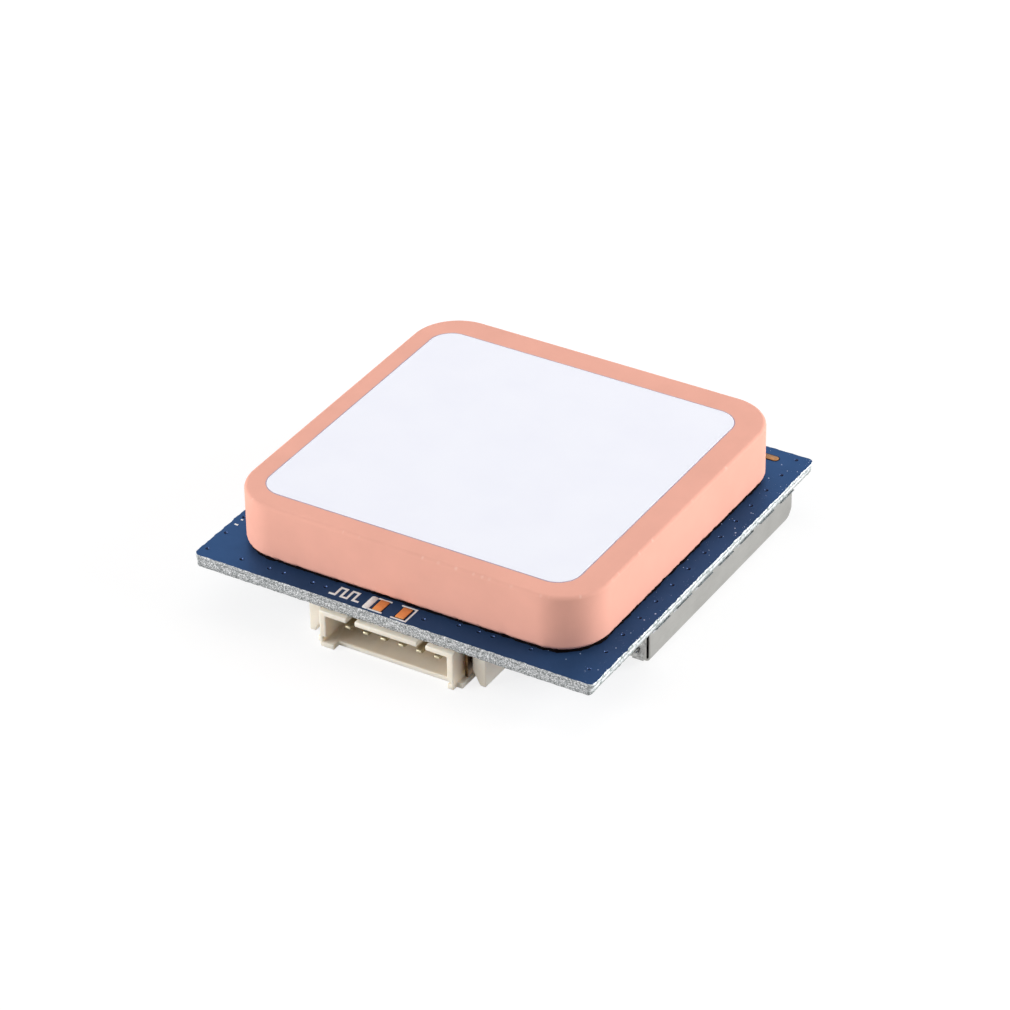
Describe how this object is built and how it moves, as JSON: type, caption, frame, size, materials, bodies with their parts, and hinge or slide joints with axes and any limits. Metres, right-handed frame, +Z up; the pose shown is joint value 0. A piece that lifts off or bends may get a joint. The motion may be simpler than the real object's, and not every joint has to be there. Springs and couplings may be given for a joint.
{
  "type": "gps module",
  "caption": "Square satellite receiver module: ceramic patch antenna on a blue board, with a shield can and a low wire socket underneath.",
  "frame": {"origin": "under the middle of the whole part, level with the socket's lowest face", "axes": "+Z up through the antenna, -Y out of the socket's mouth, +X towards the edge that the can lies along"},
  "size_m": [0.028, 0.0284, 0.0074],
  "materials": {
    "board": "glossy blue solder mask over glass-epoxy",
    "copper": "bare copper",
    "tape": "matte adhesive",
    "ceramic": "fine matte ceramic",
    "silver": "matte fired silver",
    "solder": "bright solder",
    "tinned_steel": "satin tin plate",
    "contact_metal": "tin-plated",
    "nylon": "ivory moulded nylon",
    "chip_black": "matte moulding compound",
    "chip_ceramic": "fired chip ceramic"
  },
  "bodies": {
    "root": {"circuit_board": "board", "indicator_pads": "copper", "edge_pad": "copper", "antenna_tape": "tape", "antenna_ground": "silver", "antenna_ceramic": "ceramic", "antenna_electrode": "silver", "feed_pin": "contact_metal", "feed_solder": "solder", "shield_can": "tinned_steel", "receiver_chip": "chip_black", "memory_chip": "chip_black", "clock_oscillator": "tinned_steel", "watch_crystal": "tinned_steel", "amplifier_chip": "chip_black", "saw_filter": "chip_ceramic", "matching_coils": "chip_ceramic", "bypass_capacitors": "chip_ceramic", "regulator": "chip_black", "supply_capacitors": "chip_ceramic", "ferrite_bead": "chip_black", "signal_resistors": "chip_black", "surge_diode": "chip_black", "backup_cell": "tinned_steel", "cell_tab_base": "tinned_steel", "cell_tab_cap": "tinned_steel", "connector_housing": "nylon", "fitting_nail_left": "tinned_steel", "fitting_nail_right": "tinned_steel", "contact_1": "contact_metal", "contact_2": "contact_metal", "contact_3": "contact_metal", "contact_4": "contact_metal", "contact_5": "contact_metal", "contact_6": "contact_metal"}
  },
  "joints": []
}
